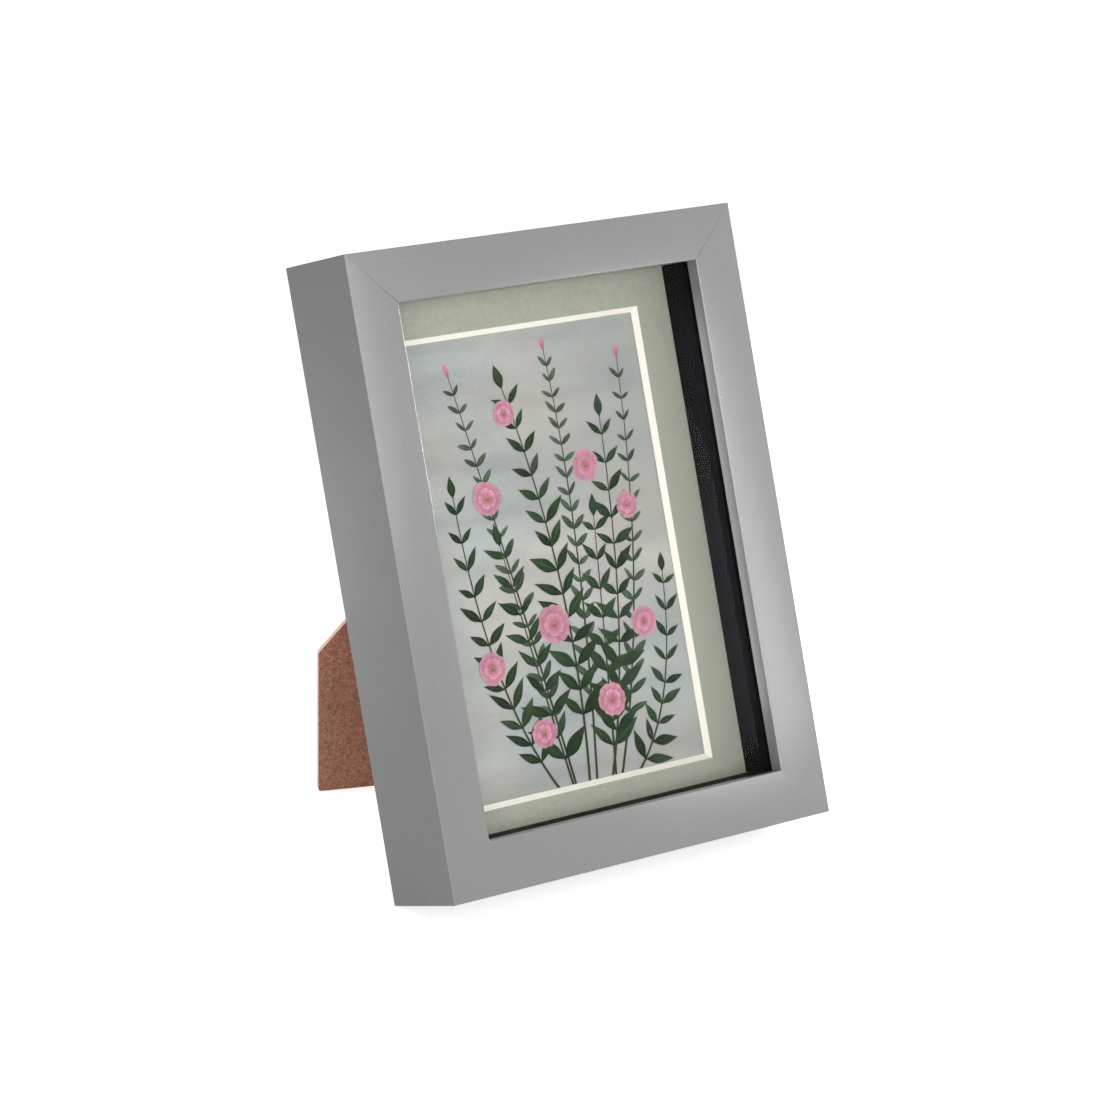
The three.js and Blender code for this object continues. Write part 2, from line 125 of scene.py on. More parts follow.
def face_outwards(piece):
    """Turns all faces of a piece outwards and leaves edit mode."""
    bpy.ops.mesh.select_all(action="SELECT")
    bpy.ops.mesh.normals_make_consistent(inside=False)
    only(piece)


def draw_out(piece, travel):
    """Draws a flat outline out into a solid."""
    pick(piece, "FACE")
    bpy.ops.mesh.extrude_region_move(TRANSFORM_OT_translate={"value": travel})
    face_outwards(piece)


def trace(name, outline):
    """Draws a closed outline from one point to the next and fills it."""
    points = [Vector(point) for point in outline]
    bpy.ops.object.select_all(action="DESELECT")
    bpy.ops.mesh.primitive_plane_add(size=mm, location=(0, 0, 0))
    piece = bpy.context.object
    piece.name = name
    bpy.ops.object.mode_set(mode="EDIT")
    bpy.ops.mesh.select_mode(type="VERT")
    bpy.ops.mesh.select_all(action="SELECT")
    bpy.ops.mesh.merge(type="CENTER")
    bpy.ops.transform.translate(value=points[0])
    for here, there in zip(points, points[1:] + points[:1]):
        bpy.ops.mesh.extrude_region_move(TRANSFORM_OT_translate={"value": there - here})
    bpy.ops.mesh.select_all(action="SELECT")
    bpy.ops.mesh.remove_doubles(threshold=weld_distance)
    bpy.ops.mesh.edge_face_add()
    only(piece)
    return piece


def block(name, low, high):
    """Adds a box between two corners."""
    low, high = Vector(low), Vector(high)
    bpy.ops.object.select_all(action="DESELECT")
    bpy.ops.mesh.primitive_cube_add(size=1, location=(low + high) / 2, scale=high - low)
    piece = bpy.context.object
    piece.name = name
    bpy.ops.object.transform_apply(location=True, rotation=True, scale=True)
    return piece


def apply_modifier(piece, kind, **settings):
    """Adds a modifier, sets it and applies it."""
    modifier = piece.modifiers.new(kind.lower(), kind)
    for name, value in settings.items():
        setattr(modifier, name, value)
    only(piece)
    bpy.ops.object.modifier_apply(modifier=modifier.name)


def cut_away(piece, cutter):
    """Cuts one shape out of a piece."""
    apply_modifier(piece, "BOOLEAN", operation="DIFFERENCE", solver="EXACT", object=cutter)
    bpy.data.objects.remove(cutter)


def shade(piece):
    """Shades rounded edges smooth and keeps flat faces flat."""
    only(piece)
    bpy.ops.object.shade_smooth_by_angle(angle=sharp_angle)
    apply_modifier(piece, "WEIGHTED_NORMAL", keep_sharp=True)


def settle(piece, place):
    """Takes a finished piece to its place and leaves that place in its mesh."""
    only(piece)
    piece.matrix_world = place @ piece.matrix_world
    bpy.ops.object.transform_apply(location=True, rotation=True, scale=True)


def finish_piece(piece, node, body, slot, *materials):
    """Gives a piece its materials and puts it in the place of its CAD node."""
    for material in materials:
        piece.data.materials.append(material)
    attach(piece, body)
    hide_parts(node)


def linear(red, green, blue):
    """A colour as written on a screen, from 0 to 255, as the shader wants it."""
    shares = [channel / 255 for channel in (red, green, blue)]
    return [c / 12.92 if c <= 0.04045 else ((c + 0.055) / 1.055) ** 2.4 for c in shares] + [1.0]


def connect(tree, socket, value):
    """Gives a socket a plain value, or the output that feeds it."""
    if isinstance(value, bpy.types.NodeSocket):
        tree.links.new(value, socket)
    else:
        socket.default_value = value


def put(tree, kind, settings=(), **sockets):
    """Adds a node. A socket goes by its name, or by the letter i and its number."""
    node = tree.nodes.new(kind)
    for name, value in dict(settings).items():
        setattr(node, name, value)
    for name, value in sockets.items():
        key = int(name[1:]) if name[1:].isdigit() else name.replace("_", " ")
        connect(tree, node.inputs[key], value)
    return node


def sums(tree, operation, first, second):
    """What an operation makes of two values."""
    return put(tree, "ShaderNodeMath", {"operation": operation}, i0=first, i1=second).outputs[0]


def times(tree, first, second):
    """One value times another."""
    return sums(tree, "MULTIPLY", first, second)


def tint(tree, share, first, second, mode="MIX"):
    """A mix of two colours."""
    settings = {"data_type": "RGBA", "blend_type": mode}
    return put(tree, "ShaderNodeMix", settings, i0=share, i6=first, i7=second).outputs[2]


def shaded(tree, colour, level):
    """A colour made lighter or darker by a level."""
    return tint(tree, 1.0, colour, level, "MULTIPLY")


def effect(name, inputs, outputs):
    """Starts a node group and gives it its sockets. An input comes with its usual value."""
    group = bpy.data.node_groups.new(name, "ShaderNodeTree")
    for socket, usual in inputs.items():
        kind = "NodeSocketVector" if usual is None else "NodeSocketFloat"
        made = group.interface.new_socket(socket, in_out="INPUT", socket_type=kind)
        if usual is not None:
            made.default_value = usual
    for socket in outputs:
        group.interface.new_socket(socket, in_out="OUTPUT", socket_type="NodeSocketFloat")
    return group, group.nodes.new("NodeGroupInput").outputs, group.nodes.new("NodeGroupOutput").inputs


# Mottle: cloudy light and dark about a level of 1, for finishes that aren't quite even
mottle, given, result = effect("mottle", {"Vector": None, "Scale": 100, "Depth": 0.05}, ["Shade"])
cloud = put(mottle, "ShaderNodeTexNoise", Vector=given["Vector"], Scale=given["Scale"], Detail=4.0)
swing = sums(mottle, "SUBTRACT", times(mottle, cloud.outputs["Fac"], 2.0), 1.0)
about_one = sums(mottle, "ADD", times(mottle, swing, given["Depth"]), 1.0)
mottle.links.new(about_one, result["Shade"])

# Specks: small spots, each in its own cell, where only a share of the cells has one
specks, given, result = effect(
    "specks", {"Vector": None, "Scale": 300, "Share": 0.1, "Size": 0.2}, ["Mask"]
)
cells = put(specks, "ShaderNodeTexVoronoi", Vector=given["Vector"], Scale=given["Scale"])
chance = put(specks, "ShaderNodeSeparateColor", Color=cells.outputs["Color"]).outputs
has_spot = sums(specks, "LESS_THAN", chance["Red"], given["Share"])
least_spot = 0.4
reach = times(specks, given["Size"], sums(specks, "ADD", chance["Green"], least_spot))
inside = sums(specks, "LESS_THAN", cells.outputs["Distance"], reach)
specks.links.new(times(specks, has_spot, inside), result["Mask"])


def new_finish(name):
    """Starts a material, and gives its node tree, its shader and the place on the piece."""
    material = bpy.data.materials.new(name)
    material.use_nodes = True
    tree = material.node_tree
    place = tree.nodes.new("ShaderNodeTexCoord").outputs["Object"]
    return material, tree, tree.nodes["Principled BSDF"], place


def feed(tree, shader, **sockets):
    """Sets or links the shader's sockets."""
    for name, value in sockets.items():
        connect(tree, shader.inputs[name.replace("_", " ")], value)


def roughen(tree, shader, height, depth):
    """Raises and sinks the surface a little, by a height from 0 to 1."""
    bump = put(tree, "ShaderNodeBump", Height=height, Distance=depth, Strength=1.0)
    tree.links.new(bump.outputs["Normal"], shader.inputs["Normal"])


def shade_by(tree, name, place, **values):
    """One of the effects, placed in a material."""
    node = put(tree, "ShaderNodeGroup", {"node_tree": bpy.data.node_groups[name]}, Vector=place, **values)
    return node.outputs[0]


foil, tree, shader, place = new_finish("satin_grey_foil")
along = put(tree, "ShaderNodeUVMap", {"uv_map": "along_rail"}).outputs["UV"]
drawn = put(tree, "ShaderNodeMapping", Vector=along, Scale=(70, 2600, 1)).outputs["Vector"]
lines = shade_by(tree, "mottle", drawn, Scale=1.0, Depth=0.06)
clouds = shade_by(tree, "mottle", place, Scale=45.0, Depth=0.03)
dust = shade_by(tree, "specks", place, Scale=330.0, Share=0.02, Size=0.07)
grain = shade_by(tree, "mottle", place, Scale=2400.0, Depth=0.16)
shades = times(tree, times(tree, lines, clouds), grain)
grey = shaded(tree, linear(125, 125, 125), shades)
dusty = times(tree, dust, 0.35)
pebble = put(tree, "ShaderNodeTexNoise", Vector=place, Scale=2600.0, Detail=2.0).outputs["Fac"]
feed(tree, shader, Base_Color=tint(tree, dusty, grey, linear(225, 225, 222)))
gloss = shade_by(tree, "mottle", place, Scale=160.0, Depth=0.1)
feed(tree, shader, Roughness=times(tree, gloss, 0.2), Specular_IOR_Level=0.9)
roughen(tree, shader, pebble, 0.004 * mm)

# Each mitre is a hair open towards the inside of the frame, the upper two more than the lower two
mitre_outer_gap = 0.01 * mm
mitre_inner_gap = {
    "bottom_left": 0.01 * mm,
    "top_left": 0.11 * mm,
    "top_right": 0.09 * mm,
    "bottom_right": 0.015 * mm,
}
mitre_tolerance = 0.0001 * mm
nail_line = recess_wall / 2
half_nail_slot = Vector((6.2 * mm, 9.7 * mm, 0.5 * mm))


def rail_outline():
    """The rail's section as pairs of depth and distance inwards, with the front crowned."""
    shares = [step / crown_steps for step in range(crown_steps + 1)]
    front = [(crown_rise * (2 * share - 1) ** 2, share * face_width) for share in shares]
    back = [
        (lip_depth, face_width),
        (lip_depth, pocket_wall),
        (shelf_depth, pocket_wall),
        (shelf_depth, recess_wall),
        (frame_depth, recess_wall),
        (frame_depth, 0),
    ]
    return front + back


def make_rail(side, length, quarter_turns, start_corner, end_corner):
    """Draws out the section, rounds its arrises, then mitres and slots its ends."""
    half = length / 2
    rail = trace(f"rail_{side}", [(-half, depth, inwards) for depth, inwards in rail_outline()])
    rounds = {
        (crown_rise, 0): outer_round,
        (frame_depth, 0): outer_round,
        (crown_rise, face_width): inner_round,
        (frame_depth, recess_wall): inner_round,
    }
    for (depth, inwards), radius in rounds.items():
        corner = Vector((-half, depth, inwards))
        pick(rail, "VERT", lambda vert: (vert.co - corner).length < weld_distance)
        bpy.ops.mesh.bevel(offset=radius, segments=round_steps, affect="VERTICES")
    draw_out(rail, (length, 0, 0))
    for end, corner in ((-1, start_corner), (1, end_corner)):
        pick(rail, "FACE")
        bpy.ops.mesh.bisect(
            plane_co=(end * (half - mitre_outer_gap), 0, 0),
            plane_no=(end * face_width, 0, face_width + mitre_inner_gap[corner] - mitre_outer_gap),
            use_fill=True,
            clear_outer=True,
            threshold=mitre_tolerance,
        )
        only(rail)
        slot = Vector((end * (half - nail_line), frame_depth, nail_line))
        cut_away(rail, block("slot", slot - half_nail_slot, slot + half_nail_slot))
    pick(rail, "FACE")
    bpy.ops.uv.cube_project(cube_size=1, correct_aspect=False)
    only(rail)
    rail.data.uv_layers[0].name = "along_rail"
    shade(rail)
    settle(rail, side_place(quarter_turns))
    finish_piece(rail, f"{side}_rail", "frame", "painted_board", foil)


make_rail("bottom", frame_width, 0, "bottom_left", "bottom_right")
make_rail("left", frame_height, 1, "top_left", "bottom_left")
make_rail("top", frame_width, 2, "top_right", "top_left")
make_rail("right", frame_height, 3, "bottom_right", "top_right")

# Corner nails
# Bent strips of bright zinc plated steel, one driven into the back of each mitre, with a leg in
# either rail. Their CAD solids stay and only get their finish.
steel, tree, shader, place = new_finish("bright_zinc_plate")
bloom = shade_by(tree, "mottle", place, Scale=220.0, Depth=0.08)
scuffs = shade_by(tree, "mottle", place, Scale=1500.0, Depth=0.25)
feed(tree, shader, Base_Color=shaded(tree, linear(196, 198, 200), bloom), Metallic=1.0)
feed(tree, shader, Roughness=times(tree, scuffs, 0.34))
roughen(tree, shader, scuffs, 0.002 * mm)


def dress(node, material):
    """Gives a CAD node that stays a better finish."""
    frame["nodes"][node].material_slots[0].material = material


for corner in mitre_inner_gap:
    dress(f"corner_nail_{corner}", steel)

# Glass
# A pane of clear picture glass with little reflection, loose in the pocket behind the lip. Its
# CAD solid stays. Lamps shine through it, so that what lies behind is lit.
glass, tree, shader, place = new_finish("clear_picture_glass")
smears = shade_by(tree, "mottle", place, Scale=60.0, Depth=0.5)
feed(tree, shader, Base_Color=linear(254, 254, 254), Transmission_Weight=1.0, IOR=1.1)
feed(tree, shader, Roughness=times(tree, smears, 0.01))
from_lamp = put(tree, "ShaderNodeLightPath").outputs["Is Shadow Ray"]
open_air = put(tree, "ShaderNodeBsdfTransparent").outputs["BSDF"]
pane = put(tree, "ShaderNodeMixShader", Fac=from_lamp, i1=shader.outputs["BSDF"], i2=open_air)
tree.links.new(pane.outputs["Shader"], tree.nodes["Material Output"].inputs["Surface"])
dress("glass_pane", glass)

# Spacers
# Four strips of black card-faced board that hold the mount off the glass. The upper and lower
# ones run the full width of the pocket, and the two at the sides stand between them. The upper
# one sits close up to the pocket's wall.
spacer_front = 7.6 * mm
spacer_depth = 12.1 * mm
spacer_outer = 13.8 * mm
spacer_thickness = 3.1 * mm
spacer_gap = 0.1 * mm
spacer_easing = 0.25 * mm
top_spacer_rise = 0.2 * mm

card, tree, shader, place = new_finish("matt_black_card")
fibres = shade_by(tree, "mottle", place, Scale=1800.0, Depth=0.3)
lint = shade_by(tree, "specks", place, Scale=420.0, Share=0.03, Size=0.12)
black = shaded(tree, linear(12, 12, 15), fibres)
feed(tree, shader, Base_Color=tint(tree, times(tree, lint, 0.2), black, linear(120, 120, 124)))
feed(tree, shader, Roughness=times(tree, fibres, 0.7), Specular_IOR_Level=0.05)
roughen(tree, shader, fibres, 0.004 * mm)


def ease(piece, width, segments=2):
    """Rounds off the sharp edges of a piece."""
    settings = {"limit_method": "ANGLE", "angle_limit": sharp_angle}
    apply_modifier(piece, "BEVEL", width=width, segments=segments, **settings)


for quarter_turns, side in enumerate(("bottom", "left", "top", "right")):
    stands_between = quarter_turns % 2 == 1
    length = frame_height if stands_between else frame_width
    end = spacer_outer + (spacer_thickness + spacer_gap if stands_between else 0)
    outer = spacer_outer - (top_spacer_rise if side == "top" else 0)
    spacer = block(
        f"spacer_{side}",
        (end - length / 2, spacer_front, outer),
        (length / 2 - end, spacer_front + spacer_depth, outer + spacer_thickness),
    )
    ease(spacer, spacer_easing)
    shade(spacer)
    settle(spacer, side_place(quarter_turns))
    finish_piece(spacer, f"{side}_spacer", "frame", "black_card", card)

# Window mount
# Board faced with sage grey paper over a cream core. The window is cut on the slant, so that a
# band of the core shows all round the print. It lies close behind the spacers.
mount_front = 20 * mm
mount_thickness = 1.7 * mm
pocket_clearance = 0.5 * mm
window_width = 91.6 * mm
window_height = 148.6 * mm
window_drop = 2.2 * mm
window_centre = frame_height / 2 - window_drop

# A face looks along an axis if its normal goes this far that way
looks_along = 0.9

mount_paper, tree, shader, place = new_finish("sage_mount_paper")
felt = shade_by(tree, "mottle", place, Scale=1400.0, Depth=0.2)
wash = shade_by(tree, "mottle", place, Scale=420.0, Depth=0.12)
flecks = shade_by(tree, "specks", place, Scale=700.0, Share=0.08, Size=0.16)
sage = shaded(tree, linear(162, 164, 149), times(tree, felt, wash))
feed(tree, shader, Base_Color=tint(tree, times(tree, flecks, 0.16), sage, linear(200, 203, 190)))
feed(tree, shader, Roughness=times(tree, felt, 0.88), Specular_IOR_Level=0.3)
roughen(tree, shader, felt, 0.03 * mm)

mount_core, tree, shader, place = new_finish("cream_mount_core")
pulp = shade_by(tree, "mottle", place, Scale=2200.0, Depth=0.03)
feed(tree, shader, Base_Color=shaded(tree, linear(241, 237, 225), pulp))
feed(tree, shader, Roughness=times(tree, pulp, 0.9), Specular_IOR_Level=0.3)
roughen(tree, shader, pulp, 0.02 * mm)


def bare_cut_edges(board):
    """Gives the second of a board's materials to all but its front and its back."""
    for face in board.data.polygons:
        face.material_index = 0 if abs(face.normal.y) > looks_along else 1


sheet_edge = pocket_wall + pocket_clearance
mount = block(
    "mount",
    (sheet_edge - frame_width / 2, mount_front, sheet_edge),
    (frame_width / 2 - sheet_edge, mount_front + mount_thickness, frame_height - sheet_edge),
)
half_window = Vector((window_width / 2, 2 * mount_thickness, window_height / 2))
window_back = Vector((0, mount_front + mount_thickness, window_centre))
window = block("window", window_back - half_window, window_back + half_window)
for travel in (-1, 1):
    slant = 2 * mount_thickness * -travel
    grown = ((half_window.x + slant) / half_window.x, 1, (half_window.z + slant) / half_window.z)
    pick(window, "FACE", lambda face: face.normal.y * travel > looks_along)
    bpy.ops.transform.resize(value=grown, center_override=window_back)
cut_away(mount, window)
bare_cut_edges(mount)
settle(mount, standing)
finish_piece(mount, "mount_board", "frame", "mount_board", mount_paper, mount_core)

# Print
# A picture on heavy paper behind the window: upright leafy sprigs with pink blossoms on a pale
# washed ground. Its flat inks are laid one over another, hair-thin.
print_front = 22 * mm
print_thickness = 0.3 * mm
print_width = 101.6 * mm
print_height = 152.4 * mm
print_easing = 0.05 * mm
ink_layer = 0.005 * mm

ground, tree, shader, place = new_finish("washed_print_ground")
turn_back = put(tree, "ShaderNodeMapping", {"vector_type": "TEXTURE"}, Vector=place, Rotation=(-lean, 0, 0))
streaked = put(tree, "ShaderNodeMapping", Vector=turn_back.outputs["Vector"], Scale=(16, 16, 70))
brush = shade_by(tree, "mottle", streaked.outputs["Vector"], Scale=1.0, Depth=0.45)
grit = shade_by(tree, "mottle", place, Scale=900.0, Depth=0.12)
pools = put(tree, "ShaderNodeTexNoise", Vector=place, Scale=24.0, Detail=3.0).outputs["Fac"]
warmth = put(tree, "ShaderNodeMapRange", Value=pools, From_Min=0.42, From_Max=0.68).outputs["Result"]
pale = tint(tree, warmth, linear(164, 169, 167), linear(174, 170, 163))
feed(tree, shader, Base_Color=shaded(tree, pale, times(tree, brush, grit)))
feed(tree, shader, Roughness=times(tree, grit, 0.75), Specular_IOR_Level=0.1)


def new_ink(name, stalk_end, tip_end, vein, vein_count):
    """A leaf's or petal's ink: its colour runs from the stalk end to the tip, with veins drawn in."""
    material, tree, shader, place = new_finish(name)
    spread = put(tree, "ShaderNodeUVMap", {"uv_map": "UVMap"}).outputs["UV"]
    across, along = put(tree, "ShaderNodeSeparateXYZ", Vector=spread).outputs[:2]
    off_rib = sums(tree, "ABSOLUTE", sums(tree, "SUBTRACT", across, 0.5), 0.0)
    rib_line = {"From_Min": 0.02, "From_Max": 0.06, "To_Min": 0.6, "To_Max": 0.0}
    rib = put(tree, "ShaderNodeMapRange", Value=off_rib, **rib_line)
    slope = times(tree, off_rib, 4.0)
    climb = sums(tree, "SUBTRACT", times(tree, along, vein_count), slope)
    side_line = {"From_Min": 0.0, "From_Max": 0.14, "To_Min": 0.35, "To_Max": 0.0}
    side = put(tree, "ShaderNodeMapRange", Value=sums(tree, "PINGPONG", climb, 0.5), **side_line)
    veins = sums(tree, "MAXIMUM", rib.outputs["Result"], side.outputs["Result"])
    washed = shade_by(tree, "mottle", place, Scale=420.0, Depth=0.35)
    grain = shade_by(tree, "mottle", place, Scale=2400.0, Depth=0.15)
    tone = put(tree, "ShaderNodeAttribute", {"attribute_name": "tone"}).outputs["Fac"]
    level = times(tree, times(tree, washed, grain), tone)
    drawn = tint(tree, veins, tint(tree, along, stalk_end, tip_end), vein)
    feed(tree, shader, Base_Color=shaded(tree, drawn, level))
    feed(tree, shader, Roughness=times(tree, grain, 0.75), Specular_IOR_Level=0.1)
    return material


# Each ink's colour at the stalk end, at the tip and in the veins, and the number of its side veins
ink_colours = {
    "leaf_green": (linear(24, 39, 26), linear(48, 68, 44), linear(70, 89, 62), 7.0),
    "frond_grey_green": (linear(42, 58, 46), linear(76, 93, 72), linear(98, 111, 90), 5.0),
    "blossom_pink": (linear(150, 72, 98), linear(202, 150, 166), linear(178, 113, 134), 1.0),
    "blossom_heart": (linear(116, 80, 46), linear(182, 152, 88), linear(94, 62, 36), 3.0),
    "stem_olive": (linear(50, 50, 36), linear(60, 64, 44), linear(74, 76, 54), 1.0),
}
inks = {name: new_ink(f"{name}_ink", *colours) for name, colours in ink_colours.items()}

art = block(
    "print",
    (-print_width / 2, print_front, window_centre - print_height / 2),
    (print_width / 2, print_front + print_thickness, window_centre + print_height / 2),
)
ease(art, print_easing, 1)
art.data.materials.append(ground)
printed = [art]


def print_shape(shape, tone):
    """Counts a shape to the print, and says how light it is in an attribute that its ink reads."""
    values = [tone] * len(shape.data.vertices)
    shape.data.attributes.new("tone", "FLOAT", "POINT").data.foreach_set("value", values)
    printed.append(shape)


motif_columns = 6


def motif(name, widths, ink):
    """A flat leaf or petal, one unit long, that stands on its stalk end and follows its widths."""
    rows = len(widths) - 1
    bpy.ops.object.select_all(action="DESELECT")
    bpy.ops.mesh.primitive_grid_add(x_subdivisions=motif_columns, y_subdivisions=rows, size=1)
    shape = bpy.context.object
    shape.name = name
    for vert in shape.data.vertices:
        rise = vert.co.y + 0.5
        vert.co = Vector((vert.co.x * widths[round(rise * rows)], 0, rise))
    shape.data.materials.append(inks[ink])
    return shape


def twin(piece):
    """Copies a piece, with a mesh of its own."""
    copy = piece.copy()
    copy.data = piece.data.copy()
    bpy.context.collection.objects.link(copy)
    return copy


def lay(shape, spot, heading, length, width, layer, tone):
    """Lays a copy of a motif on the paper, at a spot measured from the middle of the window."""
    copy = twin(shape)
    lift = Matrix.Translation((spot.x, print_front - layer * ink_layer, window_centre + spot.y))
    copy.matrix_world = lift @ Matrix.Rotation(heading, 4, "Y") @ Matrix.Diagonal((width, 1, length, 1))
    print_shape(copy, tone)


leaf = motif("leaf", [0.04, 0.32, 0.64, 0.88, 1.0, 0.97, 0.85, 0.67, 0.45, 0.22, 0.02], "leaf_green")
frond = motif("frond", [0.1, 0.6, 0.9, 1.0, 0.95, 0.8, 0.55, 0.05], "frond_grey_green")
petal = motif("petal", [0.16, 0.36, 0.56, 0.76, 0.92, 1.0, 0.98, 0.86, 0.5], "blossom_pink")
heart = motif("heart", [0.2, 0.66, 0.87, 0.97, 1.0, 0.97, 0.87, 0.66, 0.2], "blossom_heart")

# Sprigs, from the hindmost to the foremost: foot, bend and tip in millimetres from the middle of
# the window, then the pairs of leaves, the length of the lowest leaf, the leaf and what ends the tip
sprigs = [
    ((0, -80), (12, 4), (8, 66), 20, 8, frond, petal),
    ((-7, -80), (-18, -8), (-31, 62), 19, 8, frond, petal),
    ((9, -80), (34, -20), (37, 60), 18, 8, frond, petal),
    ((-8, -80), (-14, -46), (-22, 6), 9, 13, leaf, leaf),
    ((8, -80), (12, -44), (17, 10), 9, 13, leaf, leaf),
    ((-11, -80), (-36, -46), (-37, 24), 12, 12, leaf, leaf),
    ((12, -80), (38, -62), (41, -12), 9, 11, leaf, leaf),
    ((5, -80), (24, -34), (26, 42), 13, 13, leaf, leaf),
    ((-3, -80), (6, -12), (-11, 56), 14, 14, leaf, leaf),
]
sprig_layers = 5
stem_steps = 16
stem_half_foot = 0.5 * mm
stem_half_tip = 0.15 * mm

# The leafy stretch as shares of the stem, how leaves shrink along it, and by how much leaves differ
leafy_from, leafy_to = 0.2, 0.96
leaf_at_foot, leaf_loss = 1.05, 0.5
leaf_sizes = (0.8, 1.15)
leaf_widths = (0.27, 0.36)
leaf_turns = (0.6, 1.1)
leaf_tones = (0.65, 1.25)
end_length, end_width = 0.6, 0.26


def on_stem(curve, share):
    """A point of a stem's curve and the way that it heads there."""
    foot, bend, tip = curve
    low, high = foot.lerp(bend, share), bend.lerp(tip, share)
    return low.lerp(high, share), math.atan2(high.x - low.x, high.y - low.y)


def draw_stem(curve, layer):
    """Draws a stem as a flat band that thins towards its tip."""
    edges = [[], []]
    for step in range(stem_steps + 1):
        share = step / stem_steps
        spot, heading = on_stem(curve, share)
        half = stem_half_foot + (stem_half_tip - stem_half_foot) * share
        square = Vector((math.cos(heading), -math.sin(heading))) * half
        for edge, point in zip(edges, (spot - square, spot + square)):
            edge.append((point.x, print_front - layer * ink_layer, window_centre + point.y))
    stem = trace("stem", edges[1] + edges[0][::-1])
    stem.data.materials.append(inks["stem_olive"])
    print_shape(stem, 1.0)


dice = random.Random(41)
for order, (foot, bend, tip, pairs, leaf_length, kind, end_kind) in enumerate(sprigs):
    curve = [Vector(point) * mm for point in (foot, bend, tip)]
    stem_layer = 1 + order * sprig_layers
    draw_stem(curve, stem_layer)
    for pair in range(pairs):
        share = leafy_from + (leafy_to - leafy_from) * pair / (pairs - 1)
        spot, heading = on_stem(curve, share)
        for count, side in enumerate((-1, 1)):
            length = leaf_length * (leaf_at_foot - leaf_loss * share) * dice.uniform(*leaf_sizes) * mm
            width = length * dice.uniform(*leaf_widths)
            turn = heading + side * dice.uniform(*leaf_turns)
            layer = stem_layer + 1 + (2 * pair + count) % (sprig_layers - 1)
            lay(kind, spot, turn, length, width, layer, dice.uniform(*leaf_tones))
    end_size = leaf_length * mm
    lay(end_kind, curve[-1], heading, end_size * end_length, end_size * end_width, stem_layer + 1, 1.0)

# Blossoms: place and reach of an outer petal, in millimetres. Each has an outer and an inner ring of
# petals, for which petal_rings gives the number, the size and the lightness.
blossoms = [
    ((-24, 22), 5.6),
    ((17, 27), 5.2),
    ((-6, -22), 6.2),
    ((30, -27), 5.0),
    ((-33, -32), 5.4),
    ((12, -50), 5.6),
    ((-12, 48), 4.2),
    ((31, 12), 4.4),
    ((-17, -56), 4.8),
]
petal_rings = ((6, 1.0, 0.9), (5, 0.62, 1.08))
petal_sizes = (0.92, 1.06)
petal_tones = (0.9, 1.08)
ring_turn = 0.5
ring_layers = 3
heart_share = 0.26
blossom_layer = 1 + len(sprigs) * sprig_layers
heart_layer = blossom_layer + len(petal_rings) * ring_layers
for spot, reach in blossoms:
    spot = Vector(spot) * mm
    first = dice.uniform(0, 1)
    for ring, (petals, size, light) in enumerate(petal_rings):
        for count in range(petals):
            turn = first + ring * ring_turn + count * math.tau / petals
            length = reach * size * dice.uniform(*petal_sizes) * mm
            layer = blossom_layer + ring_layers * ring + count % ring_layers
            lay(petal, spot, turn, length, length, layer, light * dice.uniform(*petal_tones))
    across = reach * heart_share * mm
    lay(heart, spot - Vector((0, across / 2)), 0, across, across, heart_layer, 1.0)

for shape in (leaf, frond, petal, heart):
    bpy.data.objects.remove(shape)
only(art)
for shape in printed:
    shape.select_set(True)
bpy.ops.object.join()
settle(art, standing)
finish_piece(art, "art_print", "frame", "print_paper")

# Back panel
# A sheet of bare reddish brown hardboard, pressed from wood fibre, that closes the back flush with
# the rails' shelf. Its CAD solid, drilled for its fittings, stays and gets the board's finish.
def new_hardboard(name, colour, dark, depth):
    """Pressed wood fibre: a mottled brown with darker specks and pale strands."""
    material, tree, shader, place = new_finish(name)
    fibre = shade_by(tree, "mottle", place, Scale=1700.0, Depth=depth)
    pulp = shade_by(tree, "mottle", place, Scale=620.0, Depth=depth * 0.5)
    stain = shade_by(tree, "mottle", place, Scale=70.0, Depth=0.1)
    bark = shade_by(tree, "specks", place, Scale=620.0, Share=0.1, Size=0.2)
    strands = shade_by(tree, "specks", place, Scale=900.0, Share=0.16, Size=0.24)
    shades = times(tree, times(tree, fibre, pulp), stain)
    board = shaded(tree, colour, shades)
    pale = tint(tree, times(tree, strands, 0.25), board, linear(214, 184, 164))
    feed(tree, shader, Base_Color=tint(tree, times(tree, bark, 0.6), pale, dark))
    feed(tree, shader, Roughness=times(tree, fibre, 0.72), Specular_IOR_Level=0.35)
    roughen(tree, shader, fibre, 0.03 * mm)
    return material


hardboard = new_hardboard("hardboard_face", linear(156, 110, 90), linear(70, 40, 30), 1.15)
# The cut edges' paler colour is partly the bare fibre and partly a painted highlight of light catching them
sawn_edge_with_painted_highlight = new_hardboard("sawn_hardboard_edge_painted_highlight", linear(222, 186, 168), linear(150, 108, 92), 0.2)
dress("back_panel", hardboard)

# Turn buttons
# Stamped steel tongues that swivel over the edge of the panel to hold it in. The tip is bent up a
# little, so that a finger can get under it.
hardware_front = 25.4 * mm
button_line = (recess_wall + pocket_wall) / 2
button_radius = 3.2 * mm
button_tip_radius = 2.3 * mm
button_reach = 10.5 * mm
button_thickness = 0.9 * mm
button_tip_lift = 1.1 * mm
button_bend = 7.9 * mm
button_easing = 0.15 * mm
button_off_middle = 52 * mm
screw_radius = 1.1 * mm
screw_clearance = 0.2 * mm

# Each button's side, in quarter turns from the bottom, and its place along that side
buttons = {
    "bottom": (0, 0),
    "left_1": (1, -button_off_middle),
    "left_2": (1, button_off_middle),
    "top": (2, 0),
    "right_1": (3, -button_off_middle),
    "right_2": (3, button_off_middle),
}


